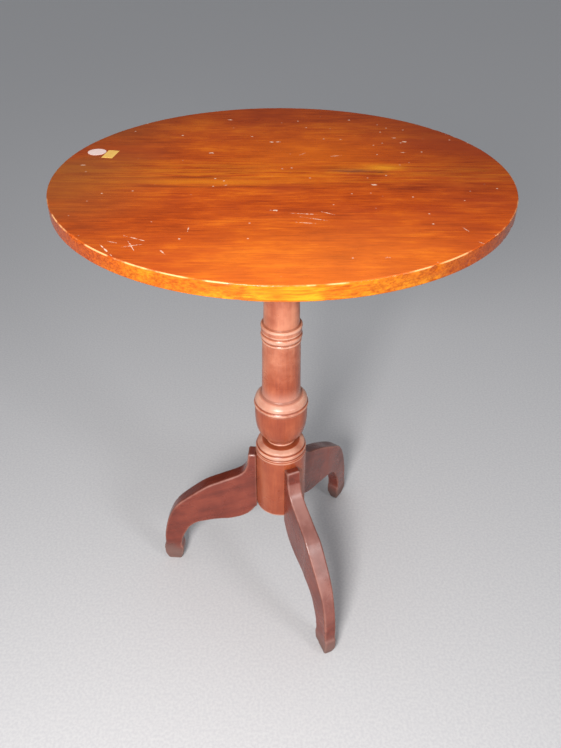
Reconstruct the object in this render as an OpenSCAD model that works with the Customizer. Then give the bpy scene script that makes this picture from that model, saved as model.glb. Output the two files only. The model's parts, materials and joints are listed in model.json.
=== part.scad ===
// Tilt top table on a turned pillar with three cabriole legs.
// Millimetres, +Z up. The origin is on the floor, below the pillar's axis.
// X runs along the grain of the top and along the tilt axis; -Y is the side that tips down.

/* [Overall] */
// Height of the table's top face above the floor
table_h = 710; // [640:1:860]
// Diameter of the round top
top_d = 540; // [450:1:650]

/* [Top] */
// Thickness of the two boards of the top
top_t = 17; // [13:0.5:22]
// Rounding of the top's rim, above and below
rim_r = 1.25; // [0.5:0.25:4]
// Place of the glue line between the front and back boards, from the centre
seam_y = -45; // [-80:1:60]

/* [Battens] */
// Length of each batten across the grain
batten_len = 400; // [320:1:430]
// Width of each batten
batten_w = 24; // [18:1:34]
// Depth of each batten along its middle
batten_h = 28; // [24:1:40]
// Depth of each batten at its ends
batten_end_h = 12; // [11:0.5:18]
// Length of the full-depth middle of each batten
batten_mid_len = 200; // [180:1:240]
// Gap between each batten and the tilt block
batten_gap = 1; // [0.5:0.25:3]
// Thickness of batten that each screw head bears on
screw_seat = 9; // [6:0.5:10]

/* [Tilt block] */
// Width of the block along the tilt axis, without its pintles
block_w = 140; // [110:1:180]
// Depth of the block from its hinge edge to its catch edge
block_d = 140; // [120:1:180]
// Thickness of the block
block_t = 26; // [20:1:34]
// Radius of the two pintles
pintle_r = 6; // [4:0.5:8]
// Radial clearance of a pintle in its batten
pintle_play = 0.08; // [0.02:0.01:0.1]
// Clearance between the block's rounded hinge edge and the top
swing_gap = 0.4; // [0.3:0.1:1]
// Bevel on the block's lower edges
block_bevel = 5; // [0:0.5:7]

/* [Pillar] */
// Height of the pillar's lower end above the floor
drum_z = 160; // [150:1:190]
// Radius of the drum that holds the legs
drum_r = 39; // [34:0.5:50]
// Height of the drum
drum_h = 114; // [100:1:150]
// Height of the vase-shaped cup, from the waist to its shoulder
cup_h = 89; // [70:1:110]
// Largest radius of the cup's shoulder
cup_r = 40.3; // [36:0.1:50]
// Height of the plain shaft above the cup
shaft_h = 93; // [60:1:130]
// Radius of the shaft where it leaves the cup
shaft_foot_r = 28.4; // [22:0.1:33]
// Radius of the shaft below its rings
shaft_head_r = 27; // [20:0.1:32]
// Radius of the neck above the rings
neck_r = 25; // [18:0.1:28]
// Radius of the round tenon that passes up through the block
tenon_r = 16; // [12:0.5:18]

/* [Legs] */
// Width of each leg at the drum
leg_w = 22; // [18:0.5:30]
// Width of each leg at its widest, below the knee
leg_knee_w = 25; // [20:0.5:34]
// Width of each foot
foot_w = 18.5; // [14:0.5:26]
// Height of the legs' upper ends above the floor
leg_top_z = 264; // [255:1:272]
// Distances of the feet's centres from the pillar's axis: right, left and front
foot_rs = [198, 188, 184]; // [160:1:230]
// Turns of the legs from the X axis: right, left and front
leg_turns = [56.4, 176, 293.2]; // [0:0.1:360]
// Height of the dovetail that slides up into the drum
dovetail_h = 92; // [60:1:95]
// Depth of the dovetail
dovetail_depth = 13; // [8:0.5:16]
// Width of the dovetail at the drum's face
dovetail_neck_w = 12; // [8:0.5:14]
// Width of the dovetail at its root
dovetail_root_w = 17; // [10:0.5:19]

/* [Catch] */
// Length of the turn button
button_len = 78; // [60:1:100]
// Width of the turn button
button_w = 22; // [16:1:28]
// Thickness of the turn button
button_t = 10; // [7:0.5:14]
// Clearance between the turned button and the block's underside
button_gap = 0.5; // [0.3:0.1:1.5]
// Gap between the block's catch edge and the riser behind it
riser_gap = 2; // [1.5:0.5:6]

/* [Hidden] */
$fn = 96;
// Overrun of a cut past the face that it opens
cut = 1;

// Heights of the top and the block
top_r = top_d / 2;
under_z = table_h - top_t;
block_z = under_z - block_t;
axis_z = under_z - block_t / 2;
hinge_edge_y = -block_d / 2;
axis_y = hinge_edge_y + block_t / 2;

// Places of the battens and the catch
batten_x = block_w / 2 + batten_gap + batten_w / 2;
pintle_len = batten_gap + batten_w;
riser_w = 60;
riser_d = 30;
riser_h = block_t + button_gap;
riser_y = block_d / 2 + riser_gap + riser_d / 2;
button_play = 0.08;
washer_t = 1.2;
washer_r = 7;

// Wood screws: countersunk for the battens and riser, round headed for the catch
wood_head_r = 4;
wood_head_h = 2.8;
wood_shank_r = 2.1;
wood_grip = 12;
sink_r = 4.8;
catch_head_r = 4.6;
catch_head_h = 3;
catch_shank_r = 2.5;
catch_grip = 18;
slot_w = 1;
batten_screw_ys = [-165, -86, 40, 165];
riser_screw_x = 20;

// Pillar turnings, from the drum up
drum_edge_r = 3;
drum_top_z = drum_z + drum_h;
collar_r = 38.8;
collar_h = 16;
waist_z = drum_top_z + collar_h + 7;
waist_r = 20;
shoulder_z = waist_z + cup_h - 3;
rings_z = shoulder_z + shaft_h;
rings_h = 26;
neck_z = rings_z + rings_h;
cap_h = 30;
cap_r = 34;
tenon_drop = 0.5;

// Wedge in the pillar's tenon
wedge_w = 4;
wedge_tip_w = 1.2;
wedge_depth = 20;

// Iron plate under the drum and its nails
plate_t = 2;
plate_hub_r = 20;
plate_arm_w = 12;
plate_edge_gap = 2;
nail_r = 1.4;
nail_len = 18;
nail_head_r = 3.2;
nail_head_h = 1.2;
arm_nail_r = drum_r - dovetail_depth / 2;

// Feet
foot_taper_h = 14;
foot_taper = 2.5;
leg_bottom_z = drum_z - 10;

// Paper labels on the top
label_t = 0.2;
label_dot_r = 11.5;
label_dot_from_rim = 24.5;
label_dot_angle = 163;
label_tag_size = [14, 27];
label_tag_from_rim = 44.5;
label_tag_angle = 163.5;
label_tag_turn = -9;

// ---- Shared shapes ----

// Points of a smooth curve through a list of knots, with steps points in each span
function span_point(a, b, c, d, t) =
    0.5 * (2 * b + (c - a) * t + (2 * a - 5 * b + 4 * c - d) * t * t
        + (3 * b - a - 3 * c + d) * t * t * t);
function smooth(knots, steps) = let (last = len(knots) - 1) [
    for (i = [0 : last - 1])
        for (j = [0 : steps - 1])
            span_point(knots[max(i - 1, 0)], knots[i], knots[i + 1],
                knots[min(i + 2, last)], j / steps),
    knots[last]
];

// Points of an arc about a centre, from one angle to another
function arc(centre, r, from, to, steps) = [
    for (i = [0 : steps]) let (a = from + (to - from) * i / steps)
        centre + r * [cos(a), sin(a)]
];

// A screw or nail standing on its head, with the head's outer face at z = 0
module countersunk(grip, head_r, head_h, shank_r) {
    tip = 3 * shank_r;
    rotate_extrude()
        polygon([[0, 0], [head_r, 0], [head_r, 0.4], [shank_r, head_h],
            [shank_r, grip - tip], [0.3, grip], [0, grip]]);
}

module slot_cut(head_r, depth) {
    translate([-head_r - cut, -slot_w / 2, -cut])
        cube([2 * (head_r + cut), slot_w, depth + cut]);
}

module wood_screw() {
    difference() {
        countersunk(screw_seat + wood_grip, wood_head_r, wood_head_h, wood_shank_r);
        slot_cut(wood_head_r, 1);
    }
}

// The hole that a wood screw leaves, with the counterbore below its head
module wood_screw_hole(bore_depth) {
    countersunk(screw_seat + wood_grip, wood_head_r, wood_head_h, wood_shank_r);
    translate([0, 0, -bore_depth])
        cylinder(h = bore_depth, r = sink_r);
}

module nail() {
    rotate_extrude()
        polygon([[0, -nail_head_h], [nail_head_r, -nail_head_h], [nail_head_r, 0],
            [nail_r, 0], [nail_r, nail_len - 3], [0.2, nail_len], [0, nail_len]]);
}

// ---- Top ----

module disc() {
    rotate_extrude($fn = 180)
        polygon(concat(
            [[0, under_z]],
            arc([top_r - rim_r, under_z + rim_r], rim_r, -90, 0, 5),
            arc([top_r - rim_r, table_h - rim_r], rim_r, 0, 90, 5),
            [[0, table_h]]
        ));
}

// Screws that hold one batten, side = -1 on the left and 1 on the right
module at_batten_screws(side) {
    for (y = batten_screw_ys)
        translate([side * batten_x, y, under_z - screw_seat])
            children();
}

module at_riser_screws() {
    for (side = [-1, 1])
        translate([side * riser_screw_x, riser_y, under_z - screw_seat])
            children();
}

module at_catch() {
    translate([0, riser_y, under_z - riser_h])
        children();
}

module top_boards() {
    difference() {
        disc();
        for (side = [-1, 1])
            at_batten_screws(side) wood_screw_hole(batten_h);
        at_riser_screws() wood_screw_hole(riser_h);
    }
}

module half_space(from_y, to_y) {
    translate([-top_r - cut, from_y, under_z - cut])
        cube([top_d + 2 * cut, to_y - from_y, top_t + 2 * cut]);
}

module top_board_front() {
    color("chocolate")
        intersection() {
            top_boards();
            half_space(-top_r - cut, seam_y);
        }
}

module top_board_back() {
    color("peru")
        intersection() {
            top_boards();
            half_space(seam_y, top_r + cut);
        }
}

// ---- Battens ----

module batten(side) {
    half = batten_len / 2;
    mid = batten_mid_len / 2;
    difference() {
        translate([side * batten_x, 0, under_z])
            rotate([90, 0, 90])
                linear_extrude(batten_w, center = true)
                    polygon([[-half, 0], [-half, -batten_end_h], [-mid, -batten_h],
                        [mid, -batten_h], [half, -batten_end_h], [half, 0]]);
        at_batten_screws(side) wood_screw_hole(batten_h);
        translate([side * batten_x, axis_y, axis_z])
            rotate([0, 90, 0])
                cylinder(h = batten_w + 2 * cut, r = pintle_r + pintle_play, center = true);
    }
}

module batten_left() {
    color("saddlebrown") batten(-1);
}

module batten_right() {
    color("saddlebrown") batten(1);
}

module batten_screws_left() {
    color("dimgray") at_batten_screws(-1) wood_screw();
}

module batten_screws_right() {
    color("dimgray") at_batten_screws(1) wood_screw();
}

// ---- Catch ----

module catch_screw_body() {
    cap_rise = catch_head_h;
    cap_round = (catch_head_r * catch_head_r + cap_rise * cap_rise) / (2 * cap_rise);
    head_z = -button_t - washer_t;
    spread = asin(catch_head_r / cap_round);
    tip = 3 * catch_shank_r;
    translate([0, 0, head_z])
        rotate_extrude()
            polygon(concat(
                arc([0, cap_round - cap_rise], cap_round, -90, -90 + spread, 6),
                [[catch_shank_r, 0], [catch_shank_r, catch_grip - head_z - tip],
                    [0.3, catch_grip - head_z], [0, catch_grip - head_z]]
            ));
}

module catch_riser() {
    color("saddlebrown")
        difference() {
            translate([-riser_w / 2, riser_y - riser_d / 2, under_z - riser_h])
                cube([riser_w, riser_d, riser_h]);
            at_riser_screws() wood_screw_hole(riser_h);
            at_catch() catch_screw_body();
        }
}

module riser_screws() {
    color("dimgray") at_riser_screws() wood_screw();
}

// Stored turned away from the block, along X
module catch_button() {
    color("sienna")
        at_catch()
            difference() {
                translate([0, 0, -button_t])
                    linear_extrude(button_t) {
                        square([button_len - button_w, button_w], center = true);
                        for (side = [-1, 1])
                            translate([side * (button_len - button_w) / 2, 0])
                                circle(d = button_w);
                    }
                translate([0, 0, -button_t - cut])
                    cylinder(h = button_t + 2 * cut, r = catch_shank_r + button_play);
            }
}

module catch_washer() {
    color("darkgray")
        at_catch()
            translate([0, 0, -button_t - washer_t])
                difference() {
                    cylinder(h = washer_t, r = washer_r);
                    translate([0, 0, -cut])
                        cylinder(h = washer_t + 2 * cut, r = catch_shank_r);
                }
}

module catch_screw() {
    color("dimgray")
        at_catch()
            difference() {
                catch_screw_body();
                translate([0, 0, -button_t - washer_t - catch_head_h])
                    slot_cut(catch_head_r, 1.4);
            }
}

// ---- Paper labels ----

module label_dot() {
    color("mistyrose")
        rotate([0, 0, label_dot_angle])
            translate([top_r - label_dot_from_rim, 0, table_h])
                cylinder(h = label_t, r = label_dot_r);
}

module label_tag() {
    color("gold")
        rotate([0, 0, label_tag_angle])
            translate([top_r - label_tag_from_rim, 0, table_h])
                rotate([0, 0, label_tag_turn - label_tag_angle])
                    translate([-label_tag_size[0] / 2, -label_tag_size[1] / 2, 0])
                        cube([label_tag_size[0], label_tag_size[1], label_t]);
}

// ---- Tilt block ----

// Outline across the tilt axis: square below, rounded about the axis above
module block_side_outline() {
    edge_r = block_t / 2 - swing_gap;
    catch_y = block_d / 2;
    polygon(concat(
        [[axis_y - edge_r, block_z], [catch_y - block_bevel, block_z],
            [catch_y, block_z + block_bevel], [catch_y, under_z]],
        arc([axis_y, axis_z + swing_gap], edge_r, 90, 180, 16)
    ));
}

module block_front_outline() {
    half = block_w / 2;
    polygon([[-half + block_bevel, block_z], [half - block_bevel, block_z],
        [half, block_z + block_bevel], [half, under_z], [-half, under_z],
        [-half, block_z + block_bevel]]);
}

module tilt_block() {
    color("saddlebrown")
        difference() {
            union() {
                intersection() {
                    rotate([90, 0, 90])
                        linear_extrude(block_w + 2 * cut, center = true)
                            block_side_outline();
                    rotate([90, 0, 0])
                        linear_extrude(block_d + 2 * cut, center = true)
                            block_front_outline();
                }
                translate([0, axis_y, axis_z])
                    rotate([0, 90, 0])
                        cylinder(h = block_w + 2 * pintle_len, r = pintle_r, center = true);
            }
            translate([0, 0, block_z - cut])
                cylinder(h = block_t + 2 * cut, r = tenon_r);
        }
}

// ---- Pillar ----

function turned_drum() = concat(
    [[0, drum_z]],
    arc([drum_r - drum_edge_r, drum_z + drum_edge_r], drum_edge_r, -90, 0, 6),
    [[drum_r, drum_top_z], [drum_r - 0.7, drum_top_z + 0.8], [drum_r - 0.7, drum_top_z + 3]]
);

// A bead round the drum's head, a groove, and a low ovolo rising to the waist
function turned_collar() = concat(
    arc([collar_r - 4.5, drum_top_z + 8], 4.5, -60, 62, 10),
    [[collar_r - 2.9, drum_top_z + 12.6]],
    smooth([[collar_r - 2.2, drum_top_z + 14], [collar_r - 3.2, drum_top_z + 16.6],
        [collar_r - 8, drum_top_z + 18.6], [waist_r + 3.5, drum_top_z + 20]], 5)
);

// A fine bead at the waist, then the cup swelling up to its rim
function turned_cup() = concat(
    arc([waist_r, waist_z - 0.5], 2.8, -70, 80, 7),
    smooth([[waist_r, waist_z + 3], [waist_r + 2.6, waist_z + 4.6], [cup_r - 10.2, waist_z + 12],
        [cup_r - 5, waist_z + 22], [cup_r - 2.2, waist_z + 36], [cup_r - 1.4, waist_z + 52],
        [cup_r - 1.6, shoulder_z - 21]], 6),
    [[cup_r - 0.6, shoulder_z - 20]],
    arc([cup_r - 3, shoulder_z - 16.5], 3, -60, 60, 6),
    [[cup_r - 2.4, shoulder_z - 12.6]],
    smooth([[cup_r - 1.6, shoulder_z - 11.4], [cup_r - 2.6, shoulder_z - 7.4],
        [cup_r - 6.5, shoulder_z - 3.2], [shaft_foot_r + 1, shoulder_z - 0.4],
        [shaft_foot_r, shoulder_z + 1.2]], 5)
);

// The shaft, a fillet and two rings, the upper one flat and the lower one rounded
function turned_shaft() = let (taper = (shaft_head_r - shaft_foot_r) / shaft_h) concat(
    [[shaft_foot_r + 12 * taper, shoulder_z + 12],
        [shaft_head_r + 20 * -taper, rings_z - 20], [shaft_head_r, rings_z],
        [shaft_head_r + 0.9, rings_z + 0.6], [shaft_head_r + 0.9, rings_z + 2.4],
        [shaft_head_r - 0.3, rings_z + 3.2], [shaft_head_r - 0.3, rings_z + 4.6]],
    arc([shaft_head_r - 3, rings_z + 9.3], 5.2, -58, 62, 9),
    [[shaft_head_r + 0.7, rings_z + 14.4], [shaft_head_r + 0.7, rings_z + 15]],
    smooth([[shaft_head_r + 1.4, rings_z + 16], [shaft_head_r + 1.1, rings_z + 19.5],
        [shaft_head_r + 1.9, rings_z + 23.6]], 4),
    arc([shaft_head_r + 0.7, rings_z + 24.8], 1.2, 0, 90, 4)
);

// The plain neck, a bead and a flared cap under the block, then the tenon
function turned_neck() = concat(
    [[neck_r + 0.9, neck_z + 0.1]],
    smooth([[neck_r + 0.2, neck_z + 1], [neck_r, neck_z + 6],
        [neck_r - 2.5, block_z - cap_h - 6], [neck_r - 2.8, block_z - cap_h]], 6),
    arc([neck_r - 2.6, block_z - cap_h + 4], 3.4, -62, 62, 8),
    smooth([[neck_r - 1.6, block_z - cap_h + 8.5], [neck_r + 0.6, block_z - 13],
        [cap_r - 3, block_z - 6.5], [cap_r - 0.6, block_z - 4]], 6),
    arc([cap_r - 2, block_z - 2], 2, 0, 90, 4),
    [[tenon_r, block_z], [tenon_r, under_z - tenon_drop], [0, under_z - tenon_drop]]
);

// The dovetail of a leg, or with an overrun its slot, which runs out of the drum's lower end
module dovetail(overrun = 0) {
    root_r = drum_r - dovetail_depth;
    mouth_r = drum_r + cut;
    spread = (dovetail_root_w - dovetail_neck_w) / 2;
    mouth_half = dovetail_neck_w / 2 - spread * cut / dovetail_depth;
    translate([0, 0, drum_z - overrun])
        linear_extrude(dovetail_h + overrun)
            polygon([[root_r, -dovetail_root_w / 2], [mouth_r, -mouth_half],
                [mouth_r, mouth_half], [root_r, dovetail_root_w / 2]]);
}

module wedge_body(grow) {
    top_z = under_z - tenon_drop;
    translate([0, 0, top_z])
        rotate([90, 0, 0])
            linear_extrude(2 * (tenon_r + grow), center = true)
                polygon([[-wedge_tip_w / 2, -wedge_depth], [wedge_tip_w / 2, -wedge_depth],
                    [wedge_w / 2, grow], [-wedge_w / 2, grow]]);
}

module at_leg(i) {
    rotate([0, 0, leg_turns[i]]) children();
}

// Where the nails stand: one in each arm, and one in the middle
module at_nails() {
    translate([0, 0, drum_z - plate_t]) {
        children();
        for (i = [0 : 2])
            at_leg(i) translate([arm_nail_r, 0, 0]) children();
    }
}

module pillar() {
    color("sienna")
        difference() {
            rotate_extrude()
                polygon(concat(turned_drum(), turned_collar(), turned_cup(),
                    turned_shaft(), turned_neck()));
            for (i = [0 : 2])
                at_leg(i) dovetail(cut);
            wedge_body(0.01);
            at_nails() nail();
        }
}

module tenon_wedge() {
    color("burlywood")
        intersection() {
            wedge_body(0);
            translate([0, 0, block_z])
                cylinder(h = block_t, r = tenon_r);
        }
}

// ---- Legs ----

// Knots of the upper edge, out from the drum's face and down from the leg's top,
// then out from the foot's centre and up from the floor
function leg_upper_knots(foot_r) = concat(
    [for (k = [[13.5, 22], [19.5, 37], [32, 48], [58, 62], [87, 79]])
        [drum_r + k[0], leg_top_z - k[1]]],
    [for (k = [[-25, 152], [-11, 135], [-3, 120], [4, 101], [9, 80], [12, 62], [12.6, 46]])
        [foot_r + k[0], k[1]]]
);

// Knots of the lower edge, from the ankle up and in to the drum
function leg_lower_knots(foot_r) = concat(
    [for (k = [[-16, 43], [-18, 55], [-22, 67], [-27.5, 79], [-34, 90.5], [-43, 99.5], [-53, 105.5]])
        [foot_r + k[0], k[1]]],
    [for (k = [[78, -39], [62, -35.5], [45, -33], [28, -27], [17, -20.5], [8, -11.5], [0.5, 0]])
        [drum_r + k[0], leg_bottom_z + k[1]]]
);

// A pad foot: a low ledge stands out at the toe and heel, and the lower part tapers in
function foot_knots(foot_r) = [
    [foot_r + 13.2, 40], [foot_r + 15.4, 35], [foot_r + 16, 29],
    [foot_r + 15.4, foot_taper_h + 2], [foot_r + 13.5, foot_taper_h - 5], [foot_r + 10.5, 0],
    [foot_r - 11, 0], [foot_r - 15, foot_taper_h - 3], [foot_r - 17.3, foot_taper_h + 7],
    [foot_r - 18.2, 29], [foot_r - 17.8, 34], [foot_r - 16.2, 38]
];

module leg_outline(foot_r) {
    inner_r = drum_r - dovetail_depth / 2;
    polygon(concat(
        [[inner_r, leg_bottom_z], [inner_r, leg_top_z], [drum_r + 10.5, leg_top_z],
            [drum_r + 11.8, leg_top_z - 1.2]],
        smooth(leg_upper_knots(foot_r), 6),
        foot_knots(foot_r),
        smooth(leg_lower_knots(foot_r), 6)
    ));
}

// The leg seen from above: it swells below the knee and narrows to the foot
module leg_plan(foot_r) {
    knots = [[drum_r - dovetail_depth, leg_w / 2], [drum_r + 12, leg_w / 2],
        [(drum_r + foot_r) / 2, (leg_w + leg_knee_w) / 4], [foot_r - 58, leg_knee_w / 2],
        [foot_r - 22, (2 * leg_knee_w + foot_w) / 6], [foot_r, (leg_knee_w + 6 * foot_w) / 14],
        [foot_r + 12, foot_w / 2], [foot_r + 20, foot_w / 2]];
    right_side = smooth(knots, 4);
    left_side = [for (i = [len(right_side) - 1 : -1 : 0]) [right_side[i][0], -right_side[i][1]]];
    polygon(concat(right_side, left_side));
}

// Cuts one side of the foot's lower part back to its taper
module foot_side_cut(foot_r, side) {
    reach = 80;
    translate([foot_r - reach / 2, side * foot_w / 2, foot_taper_h])
        rotate([-side * atan(foot_taper / foot_taper_h), 0, 0])
            translate([0, side > 0 ? 0 : -reach, -reach])
                cube([reach, reach, reach]);
}

module leg(i) {
    foot_r = foot_rs[i];
    at_leg(i)
        difference() {
            union() {
                difference() {
                    intersection() {
                        rotate([90, 0, 0])
                            linear_extrude(2 * leg_knee_w, center = true)
                                leg_outline(foot_r);
                        linear_extrude(table_h)
                            leg_plan(foot_r);
                    }
                    cylinder(h = table_h, r = drum_r);
                }
                dovetail();
            }
            for (side = [-1, 1])
                foot_side_cut(foot_r, side);
            translate([arm_nail_r, 0, drum_z - plate_t])
                nail();
        }
}

module leg_right() {
    color("brown") leg(0);
}

module leg_left() {
    color("brown") leg(1);
}

module leg_front() {
    color("brown") leg(2);
}

// ---- Iron plate under the drum ----

module spider_plate() {
    arm_len = drum_r - plate_edge_gap;
    color("dimgray")
        translate([0, 0, drum_z - plate_t])
            difference() {
                linear_extrude(plate_t) {
                    circle(r = plate_hub_r);
                    for (i = [0 : 2])
                        at_leg(i)
                            translate([0, -plate_arm_w / 2])
                                square([arm_len, plate_arm_w]);
                }
                translate([0, 0, -drum_z + plate_t])
                    at_nails() nail();
            }
}

module spider_nails() {
    color("gray") at_nails() nail();
}

top_board_front();
top_board_back();
batten_left();
batten_right();
batten_screws_left();
batten_screws_right();
catch_riser();
riser_screws();
catch_button();
catch_washer();
catch_screw();
label_dot();
label_tag();
tilt_block();
pillar();
tenon_wedge();
leg_right();
leg_left();
leg_front();
spider_plate();
spider_nails();
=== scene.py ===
"""Looks of the tilt top table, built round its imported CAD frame. Lengths are in metres."""

import json
import math
import random
from types import SimpleNamespace

import bmesh
import bpy
from mathutils import Matrix, Vector, noise
from mathutils.bvhtree import BVHTree


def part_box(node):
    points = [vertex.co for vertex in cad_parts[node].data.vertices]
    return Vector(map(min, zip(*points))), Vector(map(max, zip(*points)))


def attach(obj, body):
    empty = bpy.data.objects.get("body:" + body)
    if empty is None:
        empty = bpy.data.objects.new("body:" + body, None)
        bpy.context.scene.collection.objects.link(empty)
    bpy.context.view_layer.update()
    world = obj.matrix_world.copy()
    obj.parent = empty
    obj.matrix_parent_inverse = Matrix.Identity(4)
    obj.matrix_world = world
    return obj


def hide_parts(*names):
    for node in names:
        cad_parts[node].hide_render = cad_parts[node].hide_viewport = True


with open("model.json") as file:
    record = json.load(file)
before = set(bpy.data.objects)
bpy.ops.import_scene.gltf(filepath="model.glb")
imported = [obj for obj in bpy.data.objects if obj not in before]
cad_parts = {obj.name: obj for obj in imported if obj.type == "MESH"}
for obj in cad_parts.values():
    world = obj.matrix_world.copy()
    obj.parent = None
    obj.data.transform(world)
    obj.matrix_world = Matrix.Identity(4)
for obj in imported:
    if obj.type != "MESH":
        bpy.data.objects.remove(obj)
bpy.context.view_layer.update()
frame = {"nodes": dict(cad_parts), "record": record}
nodes = frame["nodes"]

MM = 0.001

# The camera was fitted to the photo's rim, pillar and feet. The lens is in its usual millimetres.
CAMERA_PLACE = (-0.0012, -0.808, 1.011)
CAMERA_TILT = math.radians(53.59)
CAMERA_ROLL = math.radians(0.28)
CAMERA_LENS = 33.7

# The dome is dim below its first edge and bright above its second, where 0 is level and 1 is
# straight up
DOME_EDGES = (0.45, 0.95)
DOME_BRIGHTNESS = (0.06, 0.8)

# Marks on the top, and where its knot is
MARK_SEED = 11
CHIP_COUNT = 15
CHIP_SIZES = (2 * MM, 4.6 * MM)
KNOT = (118 * MM, 8 * MM)
MARK_COLOUR = (0.96, 0.72, 0.55)

# How steeply the legs' grain falls towards the foot
LEG_GRAIN_SLOPE = math.radians(-24)

# Edges that turn by more than this many degrees are bevelled
BEVEL_FROM = 35


# ---- Camera, light and floor ----

def add_camera():
    data = bpy.data.cameras.new("camera")
    data.lens = CAMERA_LENS
    camera = bpy.data.objects.new("camera", data)
    bpy.context.collection.objects.link(camera)
    tilt = Matrix.Rotation(CAMERA_TILT, 4, "X")
    roll = Matrix.Rotation(CAMERA_ROLL, 4, "Z")
    camera.matrix_world = Matrix.Translation(CAMERA_PLACE) @ tilt @ roll
    bpy.context.scene.camera = camera


def add_area(name, place, target, size, power, colour):
    data = bpy.data.lights.new(name, "AREA")
    data.shape = "SQUARE"
    data.size = size
    data.energy = power
    data.color = colour
    light = bpy.data.objects.new(name, data)
    bpy.context.collection.objects.link(light)
    light.location = place
    light.rotation_euler = (Vector(target) - Vector(place)).to_track_quat("-Z", "Y").to_euler()


def add_dome():
    """A soft studio dome: bright overhead and dim near the horizon."""
    world = bpy.data.worlds.new("studio")
    world.use_nodes = True
    tree = world.node_tree
    background = tree.nodes["Background"]
    background.inputs["Color"].default_value = (0.95, 0.97, 1, 1)
    direction = tree.nodes.new("ShaderNodeTexCoord")
    split = tree.nodes.new("ShaderNodeSeparateXYZ")
    brightness = tree.nodes.new("ShaderNodeMapRange")
    brightness.interpolation_type = "SMOOTHSTEP"
    for socket, number in zip(brightness.inputs[1:], DOME_EDGES + DOME_BRIGHTNESS):
        socket.default_value = number
    tree.links.new(direction.outputs["Generated"], split.inputs[0])
    tree.links.new(split.outputs[2], brightness.inputs[0])
    tree.links.new(brightness.outputs[0], background.inputs["Strength"])
    bpy.context.scene.world = world


def add_lights():
    """Two soft lamps and the dome, shown with plain, unfilmic colours."""
    add_area("key", place=(-0.28, -1.2, 1.12), target=(0, 0, 0.45), size=0.32, power=29,
        colour=(1, 0.97, 0.94))
    add_area("side", place=(1.5, -1.45, 1.55), target=(0, 0, 0.3), size=0.55, power=13,
        colour=(1, 1, 1))
    add_dome()
    bpy.context.scene.view_settings.view_transform = "Standard"


# ---- Shader nodes ----

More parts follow.
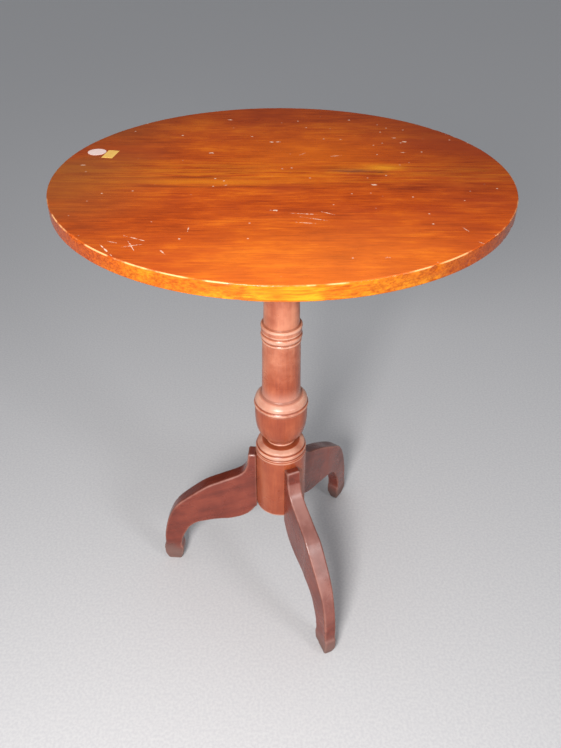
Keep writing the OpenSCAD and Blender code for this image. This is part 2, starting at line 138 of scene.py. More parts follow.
class Shader:
    """One material's node tree, with short calls for the nodes used here."""

    def __init__(self, name):
        self.material = bpy.data.materials.new(name)
        self.material.use_nodes = True
        self.tree = self.material.node_tree
        self.tree.nodes.clear()
        self.bsdf = self.node("ShaderNodeBsdfPrincipled")
        output = self.node("ShaderNodeOutputMaterial")
        self.tree.links.new(self.bsdf.outputs[0], output.inputs[0])
        self.place = self.node("ShaderNodeTexCoord").outputs["Object"]

    def node(self, kind, **settings):
        node = self.tree.nodes.new(kind)
        for key, value in settings.items():
            setattr(node, key, value)
        return node

    def put(self, socket, value):
        if isinstance(value, bpy.types.NodeSocket):
            self.tree.links.new(value, socket)
        else:
            socket.default_value = value

    def axis(self, index, vector=None):
        split = self.node("ShaderNodeSeparateXYZ")
        self.put(split.inputs[0], vector or self.place)
        return split.outputs[index]

    def joined(self, x, y, z):
        join = self.node("ShaderNodeCombineXYZ")
        for socket, value in zip(join.inputs, (x, y, z)):
            self.put(socket, value)
        return join.outputs[0]

    def math(self, operation, a, b=0.0, clamp=False):
        node = self.node("ShaderNodeMath", operation=operation, use_clamp=clamp)
        self.put(node.inputs[0], a)
        self.put(node.inputs[1], b)
        return node.outputs[0]

    def times(self, a, b):
        return self.math("MULTIPLY", a, b)

    def plus(self, a, b):
        return self.math("ADD", a, b)

    def minus(self, a, b):
        return self.math("SUBTRACT", a, b)

    def swayed(self, value, source, reach):
        """A value pushed up and down by up to half of the reach, following a source from 0 to 1."""
        return self.plus(value, self.times(self.minus(source, 0.5), reach))

    def weighted(self, *parts):
        """The sum of some values, each times its weight."""
        products = [self.times(value, weight) for value, weight in parts]
        total = products[0]
        for product in products[1:]:
            total = self.plus(total, product)
        return total

    def most(self, *values):
        """The greatest of some values."""
        greatest = values[0]
        for value in values[1:]:
            greatest = self.math("MAXIMUM", greatest, value)
        return greatest

    def vector(self, operation, a, b=(0, 0, 0)):
        node = self.node("ShaderNodeVectorMath", operation=operation)
        self.put(node.inputs[0], a)
        self.put(node.inputs[1], b)
        return node.outputs["Value" if operation in ("LENGTH", "DISTANCE", "DOT_PRODUCT") else 0]

    def scaled(self, vector, scale):
        return self.vector("MULTIPLY", vector, scale)

    def noise(self, vector, scale=1.0, detail=4.0, roughness=0.5, distortion=0.0):
        node = self.node("ShaderNodeTexNoise")
        self.put(node.inputs["Vector"], vector)
        self.put(node.inputs["Scale"], scale)
        self.put(node.inputs["Detail"], detail)
        self.put(node.inputs["Roughness"], roughness)
        self.put(node.inputs["Distortion"], distortion)
        return node.outputs[0]

    def cells(self, vector, scale):
        node = self.node("ShaderNodeTexVoronoi")
        self.put(node.inputs["Vector"], vector)
        self.put(node.inputs["Scale"], scale)
        return node.outputs["Distance"], self.axis(0, node.outputs["Color"])

    def span(self, value, low, high, to_low=0.0, to_high=1.0):
        node = self.node("ShaderNodeMapRange", interpolation_type="SMOOTHSTEP")
        for socket, number in zip(node.inputs, (value, low, high, to_low, to_high)):
            self.put(socket, number)
        return node.outputs[0]

    def ramp(self, value, stops):
        node = self.node("ShaderNodeValToRGB")
        elements = node.color_ramp.elements
        while len(elements) < len(stops):
            elements.new(1.0)
        for element, (position, colour) in zip(elements, stops):
            element.position = position
            element.color = (*colour, 1)
        self.put(node.inputs[0], value)
        return node.outputs[0]

    def mix(self, factor, a, b):
        node = self.node("ShaderNodeMix", data_type="RGBA")
        self.put(node.inputs[0], factor)
        for socket, value in zip((node.inputs[6], node.inputs[7]), (a, b)):
            self.put(socket, value if isinstance(value, bpy.types.NodeSocket) else (*value, 1))
        return node.outputs[2]

    def tinted(self, base, mask, share, tint):
        """The base colour, with a share of the tint where the mask is 1."""
        return self.mix(self.times(mask, share), base, tint)

    def attribute(self, name, output="Fac"):
        return self.node("ShaderNodeAttribute", attribute_name=name).outputs[output]

    def normal_axis(self, index):
        return self.axis(index, self.node("ShaderNodeTexCoord").outputs["Normal"])

    def bell(self, value, centre, width):
        """A smooth hump, 1 at the centre and near 0 past the width."""
        away = self.math("DIVIDE", self.minus(value, centre), width)
        return self.math("POWER", math.e, self.times(self.times(away, away), -1.0))

    def bump(self, height, distance, normal=None, strength=1.0):
        node = self.node("ShaderNodeBump")
        self.put(node.inputs["Height"], height)
        self.put(node.inputs["Distance"], distance)
        self.put(node.inputs["Strength"], strength)
        if normal:
            self.put(node.inputs["Normal"], normal)
        return node.outputs[0]

    def finish(self, **inputs):
        for name, value in inputs.items():
            self.put(self.bsdf.inputs[name.replace("_", " ")], value)
        return self.material


def darker(colour, share):
    return [channel * share for channel in colour]


# ---- Wood grain ----

def grain_place(s, along, knot=None):
    """Coordinates that wander along the grain, so that its lines aren't straight."""
    sway = s.noise(s.scaled(s.place, [2.2 if i == along else 8 for i in range(3)]), detail=1)
    x, y, z = (s.axis(i) for i in range(3))
    wandering_y = s.swayed(y, sway, 0.03)
    if along == 2:
        return s.joined(s.swayed(x, sway, 0.03), wandering_y, z)
    if knot:
        near = s.times(s.bell(x, knot[0], 26 * MM), s.bell(y, knot[1], 11 * MM))
        inward = s.times(s.minus(wandering_y, knot[1]), near)
        wandering_y = s.minus(wandering_y, s.times(inward, 0.85))
    return s.joined(x, wandering_y, z)


def streaks(s, place, along, length, width, detail=5.0, roughness=0.55, distortion=0.0):
    """Noise drawn out along the grain, with features of about that length and width."""
    return s.noise(s.scaled(place, [1 / length if i == along else 1 / width for i in range(3)]),
        detail=detail, roughness=roughness, distortion=distortion)


# ---- Marks on the top ----

def scratch_group(draw, middle, spread, count, longest, heading, turn):
    """The ends of a few scratches. Middle and spread are shares of the top's radius, and heading
    and turn are the scratches' usual angle from the grain and how far it varies, in degrees."""
    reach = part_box("top_board_back")[1].x
    group = []
    for _ in range(count):
        centre = Vector([reach * draw.gauss(share, spread) for share in middle] + [0])
        angle = math.radians(draw.gauss(heading, turn))
        half = Vector((math.cos(angle), math.sin(angle), 0)) * longest * draw.uniform(0.2, 0.5)
        group.append((centre - half, centre + half))
    return group


def all_scratches(draw):
    near_middle = scratch_group(draw, (0.15, -0.45), spread=0.05, count=4, longest=45 * MM,
        heading=-15, turn=9)
    front_left = scratch_group(draw, (-0.55, -0.75), spread=0.05, count=6, longest=30 * MM,
        heading=-25, turn=40)
    right = scratch_group(draw, (0.7, -0.6), spread=0.05, count=3, longest=15 * MM,
        heading=-65, turn=20)
    strays = scratch_group(draw, (0, 0), spread=0.45, count=5, longest=16 * MM,
        heading=0, turn=40)
    return near_middle + front_left + right + strays


def scratch_mask(s, a, b):
    """1 on a thin, wavering line between two points on the top, thinner towards its ends."""
    run = b - a
    flat = s.scaled(s.place, (1, 1, 0))
    offset = s.vector("SUBTRACT", flat, tuple(a))
    along = s.math("DIVIDE", s.vector("DOT_PRODUCT", offset, tuple(run)), run.length_squared, clamp=True)
    closest = s.node("ShaderNodeVectorMath", operation="SCALE")
    s.put(closest.inputs[0], tuple(run))
    s.put(closest.inputs["Scale"], along)
    away = s.vector("DISTANCE", offset, closest.outputs[0])
    away = s.swayed(away, s.noise(s.place, 260.0, 3), 2.4 * MM)
    from_centre = s.math("ABSOLUTE", s.minus(along, 0.5))
    away = s.plus(away, s.times(from_centre, 1.3 * MM))
    return s.span(away, 0.95 * MM, 0.35 * MM)


def chip_mask(s, draw, ragged):
    """1 on a small chip in the varnish, at a random place. Chips are wider along the grain."""
    away = 0.92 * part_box("top_board_back")[1].x * math.sqrt(draw.random())
    turn = draw.uniform(0, math.tau)
    size = draw.uniform(*CHIP_SIZES)
    squeeze = 1.6
    centre = (away * math.cos(turn), away * math.sin(turn) * squeeze, 0)
    distance = s.vector("DISTANCE", s.scaled(s.place, (1, squeeze, 0)), centre)
    return s.span(s.swayed(distance, ragged, 9 * MM), size * 0.8, size * 0.3)


def speck_mask(s):
    """1 on fine specks all over the top, with more of them in one bruised area."""
    near, pick = s.cells(s.scaled(s.place, (1, 1, 0.1)), 90.0)
    bruised = s.times(s.bell(s.axis(0), 135 * MM, 34 * MM), s.bell(s.axis(1), 92 * MM, 34 * MM))
    chosen = s.span(s.plus(pick, s.times(bruised, 0.5)), 0.86, 0.9)
    return s.times(s.span(near, 0.14, 0.07), chosen)


def top_marks(s):
    """1 on the scratches, chips and specks of the upper face."""
    draw = random.Random(MARK_SEED)
    ragged = s.noise(s.place, 300.0, 3)
    lines = s.most(*[scratch_mask(s, a, b) for a, b in all_scratches(draw)])
    scratches = s.times(lines, s.span(ragged, 0.36, 0.5))
    chips = s.most(*[chip_mask(s, draw, ragged) for _ in range(CHIP_COUNT)])
    upper = s.span(s.normal_axis(2), 0.5, 0.9)
    return s.times(s.most(chips, scratches, s.times(speck_mask(s), 0.8)), upper)


# ---- Top ----

def top_grain(s):
    """The layers of the top's grain, from the widest figure to the pores."""
    place = grain_place(s, 0, KNOT)
    grain = SimpleNamespace(
        figure=streaks(s, place, 0, 0.34, 0.02, 4, 0.55, 0.25),
        strands=streaks(s, place, 0, 0.07, 0.0055, 4, 0.62, 0.3),
        fine=streaks(s, place, 0, 0.035, 0.0017, 4, 0.65),
        pores=streaks(s, place, 0, 0.014, 0.0007, 2, 0.5),
        mottle=s.noise(s.scaled(place, (22, 40, 22)), detail=6, roughness=0.62),
        cloud=s.noise(s.scaled(s.place, (6, 10, 6)), detail=4),
    )
    grain.tone = s.span(s.weighted((grain.figure, 0.12), (grain.strands, 0.13), (grain.fine, 0.27),
        (grain.mottle, 0.24), (grain.cloud, 0.24)), 0.35, 0.65)
    return grain


def top_streaks(s, grain, wood):
    """The golden band, stripe and dark lines that run along the middle of the top."""
    x, y = s.axis(0), s.axis(1)
    band = s.times(s.bell(y, 6 * MM, 34 * MM), s.span(grain.strands, 0.4, 0.6))
    wood = s.tinted(wood, band, 0.45, (0.86, 0.27, 0.01))
    wavy = s.swayed(y, grain.strands, 16 * MM)
    stripe = s.times(s.bell(wavy, -28 * MM, 8 * MM), s.bell(x, -100 * MM, 100 * MM))
    wood = s.tinted(wood, stripe, 0.7, (0.82, 0.24, 0.01))
    lines = s.plus(s.bell(wavy, -42 * MM, 2.6 * MM), s.bell(wavy, -14 * MM, 2 * MM))
    lines = s.times(lines, s.bell(x, -100 * MM, 85 * MM))
    return s.tinted(wood, lines, 0.6, (0.2, 0.03, 0.006))


def top_areas(s, grain, wood):
    """The wide areas of the top that are lighter or darker than the rest: painted light at the front,
    painted shade at the back and right, and the wood's own tone on the left and in the middle.
    """
    x, y = s.axis(0), s.axis(1)
    left = s.times(s.span(x, -0.09, -0.26), s.span(grain.cloud, 0.25, 0.6, 0.3, 1.0))
    wood = s.tinted(wood, left, 0.7, (0.25, 0.075, 0.018))
    # Painted light: the front is lighter, where the lamp falls most.
    front = s.times(s.bell(x, 50 * MM, 150 * MM), s.span(y, -0.08, -0.24))
    wood = s.tinted(wood, front, 0.4, (0.9, 0.23, 0.03))
    middle = s.times(s.bell(x, 35 * MM, 90 * MM), s.bell(y, 70 * MM, 65 * MM))
    wood = s.tinted(wood, middle, 0.45, (0.84, 0.18, 0.006))
    # Painted shade: the back is darker in clouded patches, away from the lamp.
    far = s.plus(s.times(s.span(x, 0.02, 0.2), 0.08), y)
    back = s.times(s.span(far, 0.1, 0.28), s.span(grain.cloud, 0.2, 0.6, 0.6, 1.0))
    wood = s.tinted(wood, back, 0.5, (0.26, 0.04, 0.006))
    # Painted shade: the right side is darker, away from the lamp.
    right = s.times(s.span(x, 0.1, 0.23), s.span(y, -0.2, 0.06))
    return s.tinted(wood, right, 0.55, (0.28, 0.038, 0.005))


def top_knot(s, grain, wood):
    """The knot, with a glowing patch behind it and a smoky one to its left."""
    x, y = s.axis(0), s.axis(1)
    ragged = s.swayed(y, grain.fine, 30 * MM)
    glow = s.times(s.bell(x, KNOT[0] + 4 * MM, 22 * MM), s.bell(y, KNOT[1] + 14 * MM, 9 * MM))
    wood = s.mix(s.times(glow, s.span(grain.fine, 0.3, 0.6)), wood, (0.9, 0.34, 0.015))
    smoky = s.times(s.bell(x, KNOT[0] - 34 * MM, 26 * MM), s.bell(ragged, KNOT[1] + 2 * MM, 5 * MM))
    wood = s.tinted(wood, smoky, 0.6, (0.16, 0.075, 0.035))
    knot = s.times(s.bell(x, KNOT[0], 9 * MM), s.bell(ragged, KNOT[1], 4 * MM))
    return s.tinted(wood, knot, 0.85, (0.07, 0.02, 0.008))


def top_rim(s, grain):
    """The rim's colour: red-brown, with painted light making it golden in patches where it faces the
    front.
    """
    # Painted light: the rim is golden in patches where it faces the front.
    lit_front = s.span(s.normal_axis(1), -0.7, -0.99)
    golden = s.times(lit_front, s.span(s.noise(s.scaled(s.place, (30, 30, 60))), 0.36, 0.62, 0.3, 1.0))
    lined = s.span(s.weighted((grain.fine, 0.6), (grain.strands, 0.4)), 0.34, 0.64)
    red = s.mix(lined, (0.24, 0.03, 0.003), (0.48, 0.085, 0.004))
    return s.mix(golden, red, s.mix(lined, (0.42, 0.11, 0.004), (0.72, 0.27, 0.009)))


def top_underside(s, grain):
    """Raw wood with the dark line of the glued joint."""
    raw = s.mix(grain.tone, (0.14, 0.056, 0.024), (0.33, 0.15, 0.066))
    seam = s.bell(s.axis(1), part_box("top_board_back")[0].y, 0.5 * MM)
    return s.tinted(raw, seam, 0.8, (0.03, 0.015, 0.008))


def top_arris_wear_and_highlight(s):
    """1 in patches along the rim's upper arris, where the stain is rubbed off and a painted highlight
    lies.
    """
    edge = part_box("top_board_back")[1]
    radius = s.vector("LENGTH", s.scaled(s.place, (1, 1, 0)))
    outer = s.span(radius, edge.x - 1.5 * MM, edge.x - 0.6 * MM)
    upper = s.span(s.axis(2), edge.z - 1.6 * MM, edge.z - 0.5 * MM)
    patchy = s.span(s.noise(s.scaled(s.place, (1, 1, 0.2)), 38.0, 4), 0.46, 0.62)
    return s.times(s.times(outer, upper), patchy)


def top_wood():
    """Stained and varnished boards with a knot, marks, a worn rim and a raw underside."""
    s = Shader("top_wood")
    grain = top_grain(s)
    wood = s.ramp(grain.tone, [(0.0, (0.27, 0.028, 0.003)), (0.35, (0.48, 0.064, 0.004)),
        (0.62, (0.61, 0.095, 0.005)), (1.0, (0.86, 0.2, 0.008))])
    blush = s.span(s.noise(s.scaled(s.place, (9, 17, 9)), detail=5, roughness=0.6), 0.5, 0.68)
    wood = s.tinted(wood, blush, 0.5, (0.4, 0.042, 0.006))
    wood = top_streaks(s, grain, wood)
    wood = top_areas(s, grain, wood)
    wood = top_knot(s, grain, wood)
    wood = s.tinted(wood, s.span(grain.pores, 0.42, 0.3), 0.3, (0.22, 0.035, 0.005))
    sides = s.span(s.math("ABSOLUTE", s.normal_axis(2)), 0.75, 0.4)
    wood = s.mix(sides, wood, top_rim(s, grain))
    under = s.span(s.normal_axis(2), -0.5, -0.9)
    wood = s.mix(under, wood, top_underside(s, grain))
    marks = top_marks(s)
    wood = s.tinted(wood, marks, 0.85, MARK_COLOUR)
    # Pale patches on the upper arris: rubbed stain with a painted highlight.
    wood = s.tinted(wood, top_arris_wear_and_highlight(s), 0.8, (0.9, 0.5, 0.22))

    smear = s.noise(s.scaled(s.place, (9, 14, 9)), detail=5, roughness=0.6)
    roughness = s.plus(s.span(smear, 0.35, 0.7, 0.2, 0.36), s.times(marks, 0.3))
    roughness = s.most(roughness, s.times(under, 0.75))
    height = s.minus(s.weighted((grain.fine, 0.5), (grain.pores, 0.5)), s.times(marks, 0.4))
    ripple = s.bump(s.noise(s.place, 22.0, 2), 0.8 * MM, strength=0.25)
    normal = s.bump(height, 0.18 * MM, ripple)
    return s.finish(Base_Color=wood, Roughness=roughness, Normal=normal, Specular_IOR_Level=0.3)


def rim_wear(ray, r, z, edge_r, low_z, high_z):
    """How far use has set a point of the rim back: rubbed, and nicked mostly on its arrises."""
    if r <= edge_r - 2 * MM:
        return 0.0
    spot = ray * edge_r * 9
    rubbed = max(0.0, noise.noise(spot * 2.2 + Vector((0, 0, z * 40)))) * 0.5
    nick = max(0.0, noise.noise(spot * 7 + Vector((3, 1, z * 150))) - 0.42) * 5
    arris_height = 2.2 * MM
    on_arris = z > high_z - arris_height or z < low_z + arris_height
    return (rubbed + nick * (1.0 if on_arris else 0.25)) * MM


def board_profile(edge_r, low_z, high_z):
    """The board's edge as points of radius and height, from its upper face round to its lower."""
    arris = 1.25 * MM
    face = [edge_r - 7 * MM, edge_r - 3 * MM, edge_r - arris]
    corner = [(i + 0.5) / 4 * math.pi / 2 for i in range(4)]
    profile = [(r, high_z) for r in face]
    profile += [(edge_r - arris + arris * math.sin(a), high_z - arris + arris * math.cos(a))
        for a in corner]
    profile += [(edge_r, high_z + (low_z - high_z) * share) for share in (0.1, 0.3, 0.5, 0.7, 0.9)]
    profile += [(edge_r - arris + arris * math.cos(a), low_z + arris - arris * math.sin(a))
        for a in corner]
    return profile + [(r, low_z) for r in reversed(face)]


def top_board(name, node, edge_r, start, end):
    """One board of the round top, from one angle of its rim to another, with a worn rim."""
    low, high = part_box(node)
    profile = board_profile(edge_r, low.z, high.z)
    steps = round(abs(end - start) / math.radians(0.5))
    mesh = bmesh.new()
    rows = []
    for i in range(steps + 1):
        angle = start + (end - start) * i / steps
        ray = Vector((math.cos(angle), math.sin(angle), 0))
        row = []
        for r, z in profile:
            inset = rim_wear(ray, r, z, edge_r, low.z, high.z)
            row.append(mesh.verts.new(ray * (r - inset) + Vector((0, 0, z))))
        rows.append(row)
    for a, b in zip(rows, rows[1:]):
        for j in range(len(profile) - 1):
            mesh.faces.new((a[j], a[j + 1], b[j + 1], b[j]))
    mesh.faces.new([row[0] for row in rows])
    mesh.faces.new([row[-1] for row in reversed(rows)])
    mesh.faces.new([*rows[-1], *reversed(rows[0])])
    bmesh.ops.recalc_face_normals(mesh, faces=mesh.faces)
    return finished(mesh, name)


# ---- Shared ways to make pieces ----

def finished(mesh, name, sharp=40):
    """A new object from a bmesh, smooth except where it turns by more than some degrees."""
    data = bpy.data.meshes.new(name)
    mesh.to_mesh(data)
    mesh.free()
    data.shade_smooth()
    data.set_sharp_from_angle(angle=math.radians(sharp))
    piece = bpy.data.objects.new(name, data)
    bpy.context.collection.objects.link(piece)
    return piece


def cad_copy(node):
    """A welded copy of a CAD node's mesh, with its flat faces joined up."""
    mesh = bmesh.new()
    mesh.from_mesh(nodes[node].data)
    bmesh.ops.remove_doubles(mesh, verts=mesh.verts, dist=1e-6)
    bmesh.ops.dissolve_limit(mesh, angle_limit=math.radians(0.5), verts=mesh.verts, edges=mesh.edges)
    return mesh


def apply_modifiers(piece):
    graph = bpy.context.evaluated_depsgraph_get()
    data = bpy.data.meshes.new_from_object(piece.evaluated_get(graph))
    piece.modifiers.clear()
    old = piece.data
    piece.data = data
    bpy.data.meshes.remove(old)


def add_bevel(piece, width, segments):
    bevel = piece.modifiers.new("arris", "BEVEL")
    bevel.width = width
    bevel.segments = segments
    bevel.limit_method = "ANGLE"
    bevel.angle_limit = math.radians(BEVEL_FROM)
    return bevel


def softened(name, node, width):
    """A CAD piece with its arrises rounded over, as by years of handling."""
    piece = finished(cad_copy(node), name, 30)
    add_bevel(piece, width, 3).harden_normals = True
    apply_modifiers(piece)
    return piece


def store_stands_out(piece, values):
    """Keeps how far each point stands out from its surroundings, for wear and for painted shade in
    hollows.
    """
    attribute = piece.data.attributes.new("stands_out", "FLOAT", "POINT")
    attribute.data.foreach_set("value", [max(-1.0, min(1.0, value)) for value in values])


def curvature(piece, reach, passes):
    """Finds how far each point stands out: worn arrises against hollows."""
    mesh = bmesh.new()
    mesh.from_mesh(piece.data)
    points = [v.co.copy() for v in mesh.verts]
    around = [[e.other_vert(v).index for e in v.link_edges] for v in mesh.verts]
    for _ in range(passes):
        points = [sum((points[j] for j in near), points[i]) / (len(near) + 1)
            for i, near in enumerate(around)]
    values = [(v.co - points[i]).dot(v.normal) / reach for i, v in enumerate(mesh.verts)]
    mesh.free()
    store_stands_out(piece, values)


def leg_places(piece, foot):
    """Stores each point's place along and across its leg, with the grain sloping down to the foot."""
    outward = Vector((foot.x, foot.y, 0)).normalized()
    across = Vector((-outward.y, outward.x, 0))
    slope = LEG_GRAIN_SLOPE
    along = outward * math.cos(slope) + Vector((0, 0, math.sin(slope)))
    upward = outward * -math.sin(slope) + Vector((0, 0, math.cos(slope)))
    attribute = piece.data.attributes.new("leg_place", "FLOAT_VECTOR", "POINT")
    places = []
    for vertex in piece.data.vertices:
        places += [vertex.co.dot(along), vertex.co.dot(across) + foot.x, vertex.co.dot(upward)]
    attribute.data.foreach_set("vector", places)


def carved(name, node, arris, voxel, passes):
    """A CAD piece with rounded arrises, remeshed finely and rubbed smooth."""
    piece = finished(cad_copy(node), name, 180)
    add_bevel(piece, arris, 4).use_clamp_overlap = False
    remesh = piece.modifiers.new("remesh", "REMESH")
    remesh.mode = "VOXEL"
    remesh.voxel_size = voxel
    smooth = piece.modifiers.new("smooth", "SMOOTH")
    smooth.factor = 0.5
    smooth.iterations = passes
    apply_modifiers(piece)
    piece.data.shade_smooth()
    return piece


def dress(piece, node, body, material):
    """Gives a piece its material, hides the CAD node it stands for, and hangs it on the body it rides on.
    """
    piece.data.materials.clear()
    piece.data.materials.append(material)
    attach(piece, body)
    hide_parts(node)


# ---- Pillar ----

def outline_of(node, angle, step):
    """The radius and height of a turned CAD solid at each step up, seen from one angle."""
    low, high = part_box(node)
    data = nodes[node].data
    tree = BVHTree.FromPolygons([v.co for v in data.vertices], [tuple(p.vertices) for p in data.polygons])
    ray = Vector((math.cos(angle), math.sin(angle), 0))
    outside = ray * 0.2
    end_gap = 0.02 * MM
    outline = []
    for i in range(round((high.z - low.z) / step) + 1):
        z = min(max(low.z + i * step, low.z + end_gap), high.z - end_gap)
        hit = tree.ray_cast(outside + Vector((0, 0, z)), -ray)[0]
        outline.append((hit.xy.length, z))
    return outline


def turned(name, node, clear_angle):
    """The turned pillar, spun finely from the CAD solid's outline at an angle clear of the slots."""
    outline = outline_of(node, clear_angle, 0.6 * MM)
    last = len(outline) - 1
    sides = 128
    spread = 5
    straight_step = 8
    mesh = bmesh.new()
    rows, values = [], []
    for i, (r, z) in enumerate(outline):
        near = [outline[min(max(i + j, 0), last)][0] for j in range(-spread, spread + 1)]
        beside = max(outline[min(i + 1, last)][0], outline[max(i - 1, 0)][0])
        straight = max(near) - min(near) < 0.02 * MM and beside - r < 0.01 * MM
        if straight and i % straight_step and spread < i < last - spread:
            continue
        values += [(r - sum(near) / len(near)) / MM] * sides
        rows.append([mesh.verts.new((r * math.cos(2 * math.pi * k / sides),
            r * math.sin(2 * math.pi * k / sides), z)) for k in range(sides)])
    for a, b in zip(rows, rows[1:]):
        for k in range(sides):
            mesh.faces.new((a[k], a[(k + 1) % sides], b[(k + 1) % sides], b[k]))
    mesh.faces.new(list(reversed(rows[0])))
    mesh.faces.new(rows[-1])
    piece = finished(mesh, name, 50)
    store_stands_out(piece, values)
    return piece


def slotted(piece, others):
    """Cuts the slots in a piece that the given CAD nodes slide into."""
    cutters = [finished(cad_copy(node), f"cutter_{node}") for node in others]
    for cutter in cutters:
        cut = piece.modifiers.new("slot", "BOOLEAN")
        cut.operation = "DIFFERENCE"
        cut.solver = "EXACT"
        cut.object = cutter
    apply_modifiers(piece)
    for cutter in cutters:
        bpy.data.meshes.remove(cutter.data)
    piece.data.set_sharp_from_angle(angle=math.radians(50))
    return piece


def pillar_tone_and_painted_highlights(s, wood, cloud, figure, dark):
    """The pillar is darker low down, pale higher up with painted highlight and wear together, and palest
    on the cup's shoulder with a painted highlight.
    """
    height = s.axis(2)
    lower = s.span(s.plus(height, s.times(cloud, 0.08)), 0.46, 0.3)
    wood = s.tinted(wood, lower, 0.35, dark)
    # Painted highlight and wear together: the upper pillar is tinted pale pink in patches.
    upper = s.span(s.plus(height, s.times(cloud, 0.1)), 0.44, 0.54)
    patchy = s.span(s.weighted((cloud, 0.6), (figure, 0.4)), 0.34, 0.62, 0.25, 1.0)
    wood = s.tinted(wood, s.times(upper, patchy), 0.5, (0.72, 0.34, 0.22))
    # Painted highlight: the cup's shoulder is tinted palest.
    shoulder = s.bell(height, 384 * MM, 12 * MM)
    return s.tinted(wood, shoulder, 0.45, (0.74, 0.4, 0.31))


def leg_shade_sheen_and_scuffs(s, wood, cloud, scuffed, dark):
    """The legs get painted shade on their upper faces, a pale painted highlight where they face forward
    and up, and are scuffed at the feet.
    """
    # Painted shade: faces that point upwards are darkened.
    upper = s.span(s.normal_axis(2), 0.45, 0.85)
    wood = s.tinted(wood, upper, 0.4, darker(dark, 0.5))
    # Painted highlight: faces that point forward and up are tinted pale pink.
    ahead = s.weighted((s.normal_axis(1), -0.75), (s.normal_axis(2), 0.66))
    painted_sheen = s.times(s.span(ahead, 0.72, 0.95), s.span(cloud, 0.3, 0.62, 0.5, 1.0))
    wood = s.tinted(wood, painted_sheen, 0.72, (0.36, 0.19, 0.165))
    return s.tinted(wood, scuffed, 0.62, (0.22, 0.15, 0.13))


def stained_wood(name, along, dark, middle, light, worn, wear, roughness, feet=False):
    """Stained and varnished wood with grain along one axis, rubbed pale on its arrises and darkened in
    its hollows as painted shade.
    """
    s = Shader(name)
    on_object = s.place
    if feet:
        s.place = s.attribute("leg_place", "Vector")
    place = grain_place(s, along)
    s.place = on_object
    figure = streaks(s, place, along, 0.16, 0.016, 5, 0.55, 0.2)
    fine = streaks(s, place, along, 0.04, 0.002, 3, 0.6)
    pores = streaks(s, place, along, 0.014, 0.0007, 2)
    cloud = s.noise(s.place, 24.0, 4, 0.6)
    value = s.weighted((figure, 0.35), (fine, 0.2), (cloud, 0.45))
    wood = s.ramp(s.span(value, 0.3, 0.7), [(0.0, dark), (0.5, middle), (1.0, light)])
    wood = s.tinted(wood, s.span(pores, 0.42, 0.3), 0.25, darker(dark, 0.35))
    if not feet:
        wood = pillar_tone_and_painted_highlights(s, wood, cloud, figure, dark)
    stands = s.attribute("stands_out")
    rubbed = s.times(s.span(stands, 0.03, 0.3), s.span(cloud, 0.35, 0.6, 0.35, 1.0))
    wood = s.tinted(wood, rubbed, wear, worn)
    # Painted shade: hollows are darkened.
    hollow_shade = s.span(stands, -0.12, -0.6)
    wood = s.tinted(wood, hollow_shade, 0.35, darker(dark, 0.25))
    gloss = s.span(s.noise(s.place, 16.0, 4, 0.6), 0.35, 0.7, roughness - 0.06, roughness + 0.1)
    if feet:
        scuffed = s.span(s.swayed(s.axis(2), cloud, 0.03), 0.052, 0.016)
        wood = leg_shade_sheen_and_scuffs(s, wood, cloud, scuffed, dark)
        gloss = s.most(gloss, s.times(scuffed, 0.62))
    height = s.weighted((fine, 0.4), (pores, 0.6))
    ripple = s.bump(s.noise(s.place, 60.0, 2), 0.5 * MM, strength=0.2)
    normal = s.bump(height, 0.15 * MM, ripple)
    return s.finish(Base_Color=wood, Roughness=gloss, Normal=normal)


def raw_wood(name, along, dark, light):
    """Old unfinished wood, dusty and dull, with open grain."""
    s = Shader(name)
    place = grain_place(s, along)
    figure = streaks(s, place, along, 0.12, 0.009, 6, 0.6, 0.2)
    fine = streaks(s, place, along, 0.03, 0.0011, 4, 0.65)
    value = s.weighted((figure, 0.6), (fine, 0.4))
    wood = s.ramp(s.span(value, 0.32, 0.68), [(0.0, dark), (1.0, light)])
    stains = s.span(s.noise(s.place, 26.0, 5, 0.65), 0.5, 0.72)
    wood = s.tinted(wood, stains, 0.5, darker(dark, 0.45))
    gloss = s.span(fine, 0.3, 0.7, 0.6, 0.82)
    return s.finish(Base_Color=wood, Roughness=gloss, Normal=s.bump(value, 0.35 * MM))


def old_metal(name, bare, rust, rusted, roughness):
    """Dull metal with soft patches of rust, which cover more of it the higher rusted is."""
    s = Shader(name)
    cloud = s.noise(s.place, 170.0, 5, 0.65)
    patch = s.span(cloud, 0.55 - rusted * 0.25, 0.85 - rusted * 0.2)
    clean = s.mix(s.noise(s.place, 500.0, 3), darker(bare, 0.7), bare)
    metal = s.mix(patch, clean, rust)
    gloss = s.span(cloud, 0.35, 0.7, roughness, roughness + 0.35)
    bumps = s.bump(s.noise(s.place, 900.0, 4), 0.1 * MM)
    metallic = s.span(patch, 0.0, 1.0, 0.9, 0.3)
    return s.finish(Base_Color=metal, Roughness=gloss, Metallic=metallic, Normal=bumps)


def paper(name, face, aged):
    """Blank label paper with fine fibres, yellowed in places."""
    s = Shader(name)
    fibres = s.noise(s.scaled(s.place, (900, 300, 900)), detail=3)
    cloud = s.noise(s.place, 90.0, 4, 0.6)
    sheet = s.mix(s.span(cloud, 0.4, 0.75), face, aged)
    sheet = s.tinted(sheet, s.span(fibres, 0.4, 0.7), 0.15, darker(face, 0.8))
    return s.finish(Base_Color=sheet, Roughness=s.span(cloud, 0.3, 0.7, 0.6, 0.75),
        Normal=s.bump(fibres, 0.04 * MM))


# ---- The pieces ----

def make_top():
    material = top_wood()
    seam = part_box("top_board_back")[0].y
    edge_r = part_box("top_board_back")[1].x
    dip = math.asin(seam / edge_r)
    back = top_board("top_board_back_wood", "top_board_back", edge_r, dip, math.pi - dip)
    front = top_board("top_board_front_wood", "top_board_front", edge_r,
        math.pi - dip, 2 * math.pi + dip)
    dress(back, "top_board_back", "top", material)
    dress(front, "top_board_front", "top", material)


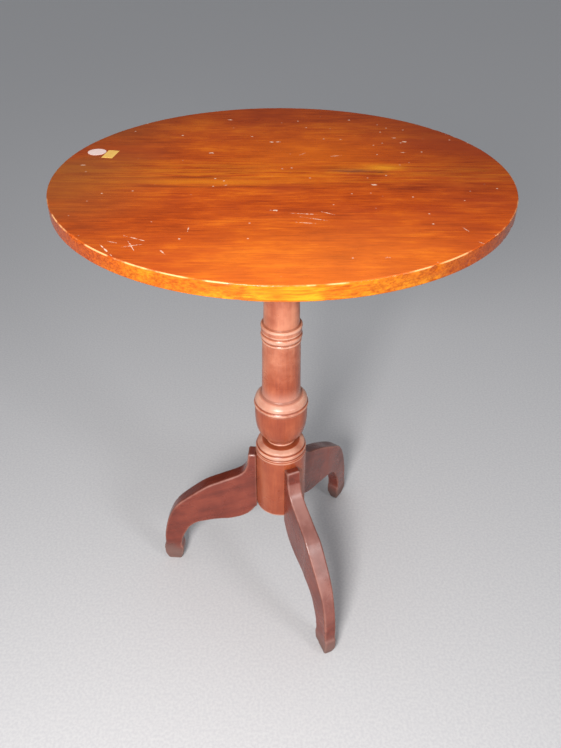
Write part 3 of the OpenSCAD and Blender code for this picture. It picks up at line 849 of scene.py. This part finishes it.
def soften_and_dress(node, body, arris, material):
    piece = softened(f"{node}_wood", node, arris)
    dress(piece, node, body, material)


def make_underside():
    batten = raw_wood("batten_wood", 1, (0.13, 0.054, 0.024), (0.3, 0.135, 0.062))
    riser = raw_wood("riser_wood", 0, (0.14, 0.058, 0.026), (0.32, 0.145, 0.064))
    block = raw_wood("block_wood", 0, (0.13, 0.056, 0.026), (0.32, 0.145, 0.066))
    button = raw_wood("button_wood", 0, (0.13, 0.05, 0.02), (0.34, 0.15, 0.06))
    soften_and_dress("batten_left", "top", 0.9 * MM, batten)
    soften_and_dress("batten_right", "top", 0.9 * MM, batten)
    soften_and_dress("catch_riser", "top", 0.9 * MM, riser)
    soften_and_dress("tilt_block", "base", 1.0 * MM, block)
    soften_and_dress("catch_button", "button", 1.2 * MM, button)


def make_base():
    between_legs = math.radians(115)
    pillar = turned("pillar_turned", "pillar", between_legs)
    pillar = slotted(pillar, ["leg_right", "leg_left", "leg_front"])
    pillar_material = stained_wood("pillar_wood", 2, dark=(0.25, 0.042, 0.015),
        middle=(0.38, 0.08, 0.029), light=(0.52, 0.14, 0.056), worn=(0.72, 0.42, 0.31),
        wear=0.7, roughness=0.3)
    dress(pillar, "pillar", "base", pillar_material)
    leg_material = stained_wood("leg_wood", 0, dark=(0.11, 0.017, 0.009),
        middle=(0.19, 0.03, 0.015), light=(0.27, 0.05, 0.025), worn=(0.5, 0.26, 0.19),
        wear=0.35, roughness=0.27, feet=True)
    feet = {mount["name"]: Vector(mount["pos_m"]) for mount in frame["record"]["mounts"]}
    for side in ("right", "left", "front"):
        piece = carved(f"leg_{side}_carved", f"leg_{side}", arris=1.8 * MM, voxel=1.0 * MM, passes=10)
        curvature(piece, reach=1.0 * MM, passes=6)
        leg_places(piece, feet[f"foot_{side}"])
        dress(piece, f"leg_{side}", "base", leg_material)


def make_small_parts():
    """Pieces whose CAD shape stays, with better materials."""
    steel = old_metal("screw_steel", bare=(0.4, 0.37, 0.33), rust=(0.13, 0.06, 0.03),
        rusted=0.4, roughness=0.4)
    iron = old_metal("iron", bare=(0.13, 0.115, 0.105), rust=(0.085, 0.042, 0.026),
        rusted=0.8, roughness=0.5)
    finishes = {
        "batten_screws_left": steel, "batten_screws_right": steel, "riser_screws": steel,
        "catch_washer": steel, "catch_screw": steel, "spider_plate": iron, "spider_nails": iron,
        "label_dot": paper("label_pink", (0.88, 0.68, 0.64), (0.8, 0.55, 0.5)),
        "label_tag": paper("label_yellow", (0.9, 0.56, 0.13), (0.78, 0.42, 0.08)),
        "tenon_wedge": raw_wood("wedge_wood", 2, (0.3, 0.17, 0.08), (0.5, 0.31, 0.16)),
    }
    for node, material in finishes.items():
        nodes[node].data.materials.clear()
        nodes[node].data.materials.append(material)


def add_floor():
    mesh = bmesh.new()
    bmesh.ops.create_grid(mesh, x_segments=1, y_segments=1, size=12)
    floor = finished(mesh, "floor")
    s = Shader("floor")
    tone = s.span(s.noise(s.place, 240.0, 3), 0.3, 0.7)
    s.finish(Base_Color=s.mix(tone, (0.5, 0.5, 0.52), (0.56, 0.56, 0.57)), Roughness=0.9)
    floor.data.materials.append(s.material)


add_camera()
add_lights()
add_floor()
make_top()
make_underside()
make_base()
make_small_parts()
